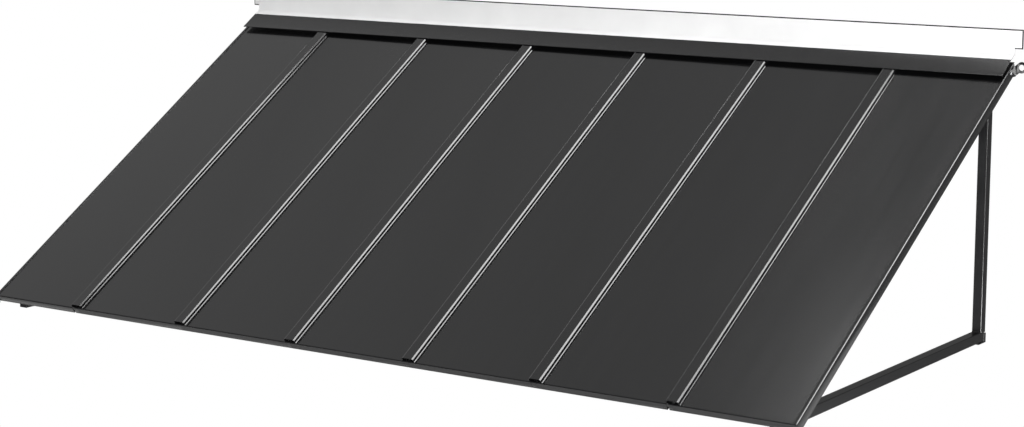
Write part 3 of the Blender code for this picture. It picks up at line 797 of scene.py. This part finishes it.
class AWNING_OT_welds(bpy.types.Operator):
    """Rippled weld beads where the tubes of an end frame meet"""

    bl_idname = "awning.welds"
    bl_label = "Welds"

    radius = 0.0016
    ripple = 0.0016
    ripple_rings = 4
    ripple_depth = 0.12
    tip = 0.4
    tip_growth = 0.3
    sides = 8

    def bead(self, bm, start, end):
        """Round bead between two points, swollen at every ripple."""
        along = end - start
        turn = along.to_track_quat("Z", "Y").to_matrix()
        count = self.ripple_rings * max(2, round(along.length / self.ripple))
        rings = []
        for i in range(count + 1):
            taper = min(1, self.tip + self.tip_growth * min(i, count - i))
            phase = 2 * pi * i / self.ripple_rings
            swell = 1 - self.ripple_depth + self.ripple_depth * cos(phase)
            radius = self.radius * taper * swell
            centre = start + along * (i / count)
            angles = [2 * pi * k / self.sides for k in range(self.sides)]
            ring = [turn @ Vector((radius * cos(a), radius * sin(a), 0)) for a in angles]
            rings.append([bm.verts.new(centre + point) for point in ring])
        for a, b in zip(rings, rings[1:]):
            for k in range(self.sides):
                bm.faces.new((a[k - 1], a[k], b[k], b[k - 1]))
        bm.faces.new(rings[0])
        bm.faces.new(rings[-1])

    def execute(self, context):
        own = sizes("frame")
        half = own.tube / 2
        flat = half - own.tube_corner
        arm_top = own.arm_underside + own.tube
        slope = slope_matrix()
        for word, side in SIDES:
            x = frame_x(side)
            inner = x - side * half
            bm = bmesh.new()
            for z in (-half, arm_top):
                self.bead(bm, Vector((x - flat, -own.tube, z)), Vector((x + flat, -own.tube, z)))
                for face in (x - half, x + half):
                    self.bead(bm, Vector((face, -own.tube + own.tube_corner, z)),
                              Vector((face, -own.tube_corner, z)))
            span = slope_s(-own.tube, 0) - FRONT_RAIL_START
            for share in RAIL_SHARES.values():
                lower = FRONT_RAIL_START + span * share
                for s in (lower, lower + own.tube):
                    top = -(sizes("roof").sheet + GAP + own.tube_corner)
                    ends = [slope @ Vector((inner, s, h)) for h in (top, top - 2 * flat)]
                    self.bead(bm, *ends)
            bmesh.ops.recalc_face_normals(bm, faces=bm.faces[:])
            piece(f"welds_{word}", bm, finish("frame"))
        return {"FINISHED"}


class AWNING_OT_arm_fittings(bpy.types.Operator):
    """Plugs in the arms' front ends and moulded shoes at the wall"""

    bl_idname = "awning.arm_fittings"
    bl_label = "Arm plugs and wall feet"

    plate = 0.002
    spigot = 0.008
    rim = 0.0018
    sole = 0.003
    length = 0.042
    overhang = 0.002
    top_drop = 0.004

    def plug(self, word, x, z):
        """Plate with a spigot in the tube, trimmed by the arm's mitre."""
        own = sizes("frame")
        half = own.tube / 2
        face = own.arm_front - sizes("roof").projection - GAP
        bm = bmesh.new()
        box(bm, (x - half, face - self.plate, z - half), (x + half, face, z + half))
        bm.normal_update()
        back = [f for f in bm.faces if near(f.normal.y, 1)]
        bmesh.ops.inset_region(bm, faces=back, thickness=self.rim, use_even_offset=True)
        made = bmesh.ops.extrude_face_region(bm, geom=back)["geom"]
        bmesh.ops.translate(bm, verts=new_verts(made), vec=(0, self.spigot + GAP, 0))
        bmesh.ops.delete(bm, geom=back, context="FACES_ONLY")
        mitre(bm, *under_rafter())
        plug = piece(f"arm_plug_{word}_moulding", bm, finish("plastic"),
                     [f"arm_plug_{word}"])
        rounded(plug, width=0.0005)

    def foot(self, word, x):
        """Shoe with a block behind the arm's end and a sole under it."""
        own = sizes("frame")
        half = own.tube / 2 + self.overhang
        sole_top = own.arm_underside - GAP
        low = sole_top - self.sole
        top = own.arm_underside + own.tube - self.top_drop
        outline = [(0, low), (0, top), (-FOOT_BLOCK, top), (-FOOT_BLOCK, sole_top)]
        outline += [(-self.length, sole_top), (-self.length, low)]
        bm = bmesh.new()
        prism(bm, [(x - half, y, z) for y, z in outline], X_AXIS * 2 * half)
        foot = piece(f"wall_foot_{word}_moulding", bm, finish("plastic"),
                     [f"wall_foot_{word}"])
        rounded(foot, width=0.0009, segments=4)

    def execute(self, context):
        own = sizes("frame")
        for word, side in SIDES:
            self.plug(word, frame_x(side), own.arm_underside + own.tube / 2)
            self.foot(word, frame_x(side))
        return {"FINISHED"}


class AWNING_OT_wall_ears(bpy.types.Operator):
    """Bent ears with a hole, and the screws that fasten the trims to them"""

    bl_idname = "awning.wall_ears"
    bl_label = "Wall ears and trim screws"

    radius = 0.014
    hole = 0.0075
    round_steps = 40
    outset = 0.0134
    height = 0.010
    arc = radians(223)
    tab_top = 0.0035
    tab_height = 0.016
    screw_y = -0.0316
    screw_z = -0.0025
    screw_length = 0.005
    shank_radius = 0.0019
    # radius and height over the seat, from the crown down to the seat
    head_curve = ((0.0020, 0.0022), (0.0027, 0.0020), (0.0034, 0.0014), (0.0037, 0.0008),
                  (0.0038, 0))
    socket = 0.0013
    socket_depth = 0.0012
    socket_edge = 0.0001
    screw_steps = 36

    def ear(self, word, side):
        """Lug flat on the wall, and the tab behind the trim's face."""
        roof, trim, own = sizes("roof"), sizes("trim"), sizes("frame")
        outer = roof.width / 2 - trim.sheet - GAP
        centre = Vector((roof.width / 2 + self.outset, 0, self.height))
        bm = bmesh.new()
        count = self.round_steps
        angles = [self.arc * (i / count - 1 / 2) for i in range(count + 1)]
        rim = [centre + self.radius * Vector((cos(a), 0, sin(a))) for a in angles]
        rim += [Vector((outer - EAR_PLATE, 0, z)) for z in (own.tube / 2, -own.tube / 2)]
        angles = [2 * pi * i / count for i in range(count)]
        bore = [centre + self.hole * Vector((cos(a), 0, sin(a))) for a in angles]
        edges = []
        for loop in (rim, bore):
            verts = [bm.verts.new((side * p.x, -EAR_PLATE, p.z)) for p in loop]
            edges += [bm.edges.new((verts[i - 1], verts[i])) for i in range(len(verts))]
        bmesh.ops.triangle_fill(bm, edges=edges, use_beauty=True)
        made = bmesh.ops.extrude_face_region(bm, geom=bm.faces[:])["geom"]
        bmesh.ops.translate(bm, verts=new_verts(made), vec=(0, EAR_PLATE, 0))
        bmesh.ops.recalc_face_normals(bm, faces=bm.faces[:])
        xs = sorted((side * outer, side * (outer - EAR_PLATE)))
        box(bm, (xs[0], -EAR_TAB_LENGTH, self.tab_top - self.tab_height),
            (xs[1], -EAR_PLATE / 2, self.tab_top))
        ear = piece(f"wall_ear_{word}_plate", bm, finish("frame"),
                    [f"wall_ear_{word}"])
        rounded(ear, width=0.0004)

    def screw(self, word, side):
        """Socket pan head screw: a turned profile whose socket is drawn out to a hexagon."""
        seat = sizes("roof").width / 2 + GAP
        crown = seat + self.head_curve[0][1]
        bottom, tip = crown - self.socket_depth, seat - self.screw_length
        profile = [(0, bottom), (self.socket, bottom), (self.socket, crown - self.socket_edge)]
        profile += [(radius, seat + height) for radius, height in self.head_curve]
        profile += [(self.shank_radius, seat), (self.shank_radius, tip), (0, tip)]
        axis = Vector((0, self.screw_y, self.screw_z))
        bm = bmesh.new()
        verts = [bm.verts.new(axis + Vector((side * x, 0, r))) for r, x in profile]
        edges = [bm.edges.new(pair) for pair in zip(verts, verts[1:])]
        bmesh.ops.spin(bm, geom=verts + edges, cent=axis, axis=X_AXIS, angle=2 * pi,
                       steps=self.screw_steps, use_merge=True)
        bmesh.ops.remove_doubles(bm, verts=bm.verts[:], dist=1e-6)
        for vert in bm.verts:
            arm = Vector((0, vert.co.y - axis.y, vert.co.z - axis.z))
            if abs(arm.length - self.socket) < 1e-5:
                turn = arm.yz.angle_signed(Vector((1, 0))) % (pi / 3)
                stretch = 1 / cos(turn - pi / 6)
                vert.co.y = axis.y + arm.y * stretch
                vert.co.z = axis.z + arm.z * stretch
        bmesh.ops.recalc_face_normals(bm, faces=bm.faces[:])
        piece(f"trim_screw_{word}_turned", bm, finish("zinc"), [f"trim_screw_{word}"])

    def execute(self, context):
        for word, side in SIDES:
            self.ear(word, side)
            self.screw(word, side)
        return {"FINISHED"}


class AWNING_OT_seam_clips(bpy.types.Operator):
    """Zinc plate on the hidden seam clips, whose CAD shape is already right"""

    bl_idname = "awning.seam_clips"
    bl_label = "Seam clips"

    def execute(self, context):
        for level in ("lower", "upper"):
            for number in range(1, SEAMS + 1):
                clip = frame["nodes"][f"seam_clip_{number}_{level}"]
                for slot in clip.material_slots:
                    slot.material = finish("zinc")
        return {"FINISHED"}


class AWNING_OT_stage(bpy.types.Operator):
    """Pale floor, white surroundings, soft lamps and the camera"""

    bl_idname = "awning.stage"
    bl_label = "Stage"

    floor_height = -2.4
    floor_half = 5
    # the world's light is strongest from this side and falls off across the sky
    brightest = (-0.9, 0.1, 0.43)
    # name, place, target, size, watts and spread; the two overhead lamps lie where the
    # bevels at the seams mirror them and the pans don't
    lamps = (
        ("overhead", (0.93, -0.1, 4.7), (0.93, -0.1, 0), (2.86, 2.5), 160, pi),
        ("overhead_left", (-0.83, -0.6, 4.7), (-0.83, -0.6, 0), (0.64, 1.4), 20, pi),
        ("front", (4.2, -7.0, 0), (0.2, -0.2, 0), (3.0, 2.0), 480, pi),
        ("low", (2.2, -1.7, -1.3), (1.15, -0.6, -0.68), (0.8, 0.8), 10, radians(60)),
    )

    def lamp(self, name, place, target, size, power, spread):
        """Area lamp at a place, facing a target."""
        light = bpy.data.lights.new(name, "AREA")
        light.shape = "RECTANGLE"
        light.size, light.size_y = size
        light.energy = power
        light.spread = spread
        obj = bpy.data.objects.new(name, light)
        bpy.context.scene.collection.objects.link(obj)
        facing = Vector(target) - Vector(place)
        obj.location = place
        obj.rotation_euler = facing.to_track_quat("-Z", "Y").to_euler()

    def white_where_seen(self, tree, lit, white):
        """Mix a lit shader with plain white for rays that look straight at it."""
        path = node(tree, "ShaderNodeLightPath")
        return node(tree, "ShaderNodeMixShader", links={
            0: path.outputs["Is Camera Ray"], 1: lit.outputs[0], 2: white.outputs[0]})

    def floor(self):
        """Plain pale floor well below the awning."""
        made, tree, shader = new_material("pale_floor", {
            "Base Color": linear("#e8e8e8"), "Roughness": 0.9})
        white = node(tree, "ShaderNodeEmission", {"Color": (1, 1, 1, 1), "Strength": 1.0})
        mixed = self.white_where_seen(tree, shader, white)
        tree.links.new(mixed.outputs[0], tree.nodes["Material Output"].inputs["Surface"])
        bm = bmesh.new()
        bmesh.ops.create_grid(bm, x_segments=1, y_segments=1, size=self.floor_half,
                              matrix=Matrix.Translation((0, 0, self.floor_height)))
        mesh = bpy.data.meshes.new("floor")
        bm.to_mesh(mesh)
        bm.free()
        mesh.materials.append(made)
        obj = bpy.data.objects.new("floor", mesh)
        bpy.context.scene.collection.objects.link(obj)

    def surroundings(self):
        """White backdrop; the light from it is strongest from the upper left."""
        world = bpy.data.worlds.new("studio")
        bpy.context.scene.world = world
        world.use_nodes = True
        tree = world.node_tree
        tree.nodes.clear()
        place = node(tree, "ShaderNodeTexCoord")
        towards = node(tree, "ShaderNodeVectorMath",
                       {"operation": "DOT_PRODUCT", 1: self.brightest},
                       {0: place.outputs["Generated"]})
        level = node(tree, "ShaderNodeMapRange",
                     {"From Min": 0.6, "From Max": 0.95, "To Min": 0.10, "To Max": 0.37},
                     {"Value": towards.outputs["Value"]})
        soft = node(tree, "ShaderNodeBackground", {"Color": (1, 1, 1, 1)},
                    {"Strength": level.outputs["Result"]})
        white = node(tree, "ShaderNodeBackground", {"Color": (1, 1, 1, 1), "Strength": 1.0})
        mixed = self.white_where_seen(tree, soft, white)
        out = node(tree, "ShaderNodeOutputWorld")
        tree.links.new(mixed.outputs[0], out.inputs["Surface"])

    def camera(self):
        """Camera fitted to the photo's seams, trims, eave and frame."""
        data = bpy.data.cameras.new("camera")
        data.sensor_width = 36.0
        data.lens = 83.124
        data.shift_x = 0.0035
        data.shift_y = 0.0342
        data.clip_end = 100
        obj = bpy.data.objects.new("camera", data)
        bpy.context.scene.collection.objects.link(obj)
        place = Vector((3.5079, -5.4454, 0.6377))
        right = Vector((0.81974928, 0.57271347, -0.00322398))
        down = Vector((0.10221131, -0.15183364, -0.98310701))
        ahead = Vector((-0.56352814, 0.80557174, -0.18300331))
        turn = Matrix((right, -down, -ahead)).transposed()
        obj.matrix_world = Matrix.Translation(place) @ turn.to_4x4()
        bpy.context.scene.camera = obj

    def execute(self, context):
        context.scene.view_settings.view_transform = "Standard"
        self.floor()
        self.surroundings()
        for values in self.lamps:
            self.lamp(*values)
        self.camera()
        return {"FINISHED"}


class AWNING_PT_panel(bpy.types.Panel):
    """Sizes, finishes and pieces of the awning"""

    bl_idname = "AWNING_PT_panel"
    bl_label = "Awning"
    bl_space_type = "VIEW_3D"
    bl_region_type = "UI"
    bl_category = "Awning"

    def draw(self, context):
        for name in GROUPS:
            group = sizes(name)
            column = self.layout.column(heading=name.title())
            for key in group.__annotations__:
                column.prop(group, key)
        for operator in OPERATORS:
            self.layout.operator(operator.bl_idname)


GROUPS = {"roof": RoofSizes, "seam": SeamSizes, "trim": TrimSizes, "frame": FrameSizes,
          "finishes": Finishes}
OPERATORS = (AWNING_OT_pans, AWNING_OT_seam_caps, AWNING_OT_rake_trims, AWNING_OT_head_flashing,
             AWNING_OT_wall_flange, AWNING_OT_wall_seal, AWNING_OT_frame_tubes, AWNING_OT_welds,
             AWNING_OT_arm_fittings, AWNING_OT_wall_ears, AWNING_OT_seam_clips, AWNING_OT_stage)


def register():
    """Register the size groups, the operators and the panel."""
    for name, group in GROUPS.items():
        bpy.utils.register_class(group)
        setattr(bpy.types.Scene, f"awning_{name}", bpy.props.PointerProperty(type=group))
    for cls in (*OPERATORS, AWNING_PT_panel):
        bpy.utils.register_class(cls)


def unregister():
    """Take everything out again."""
    for cls in (*OPERATORS, AWNING_PT_panel):
        bpy.utils.unregister_class(cls)
    for name, group in GROUPS.items():
        delattr(bpy.types.Scene, f"awning_{name}")
        bpy.utils.unregister_class(group)


def main():
    """Build every piece and the stage."""
    register()
    bpy.ops.awning.pans()
    bpy.ops.awning.seam_caps()
    bpy.ops.awning.rake_trims()
    bpy.ops.awning.head_flashing()
    bpy.ops.awning.wall_flange()
    bpy.ops.awning.wall_seal()
    bpy.ops.awning.frame_tubes()
    bpy.ops.awning.welds()
    bpy.ops.awning.arm_fittings()
    bpy.ops.awning.wall_ears()
    bpy.ops.awning.seam_clips()
    bpy.ops.awning.stage()


if __name__ == "__main__":
    main()
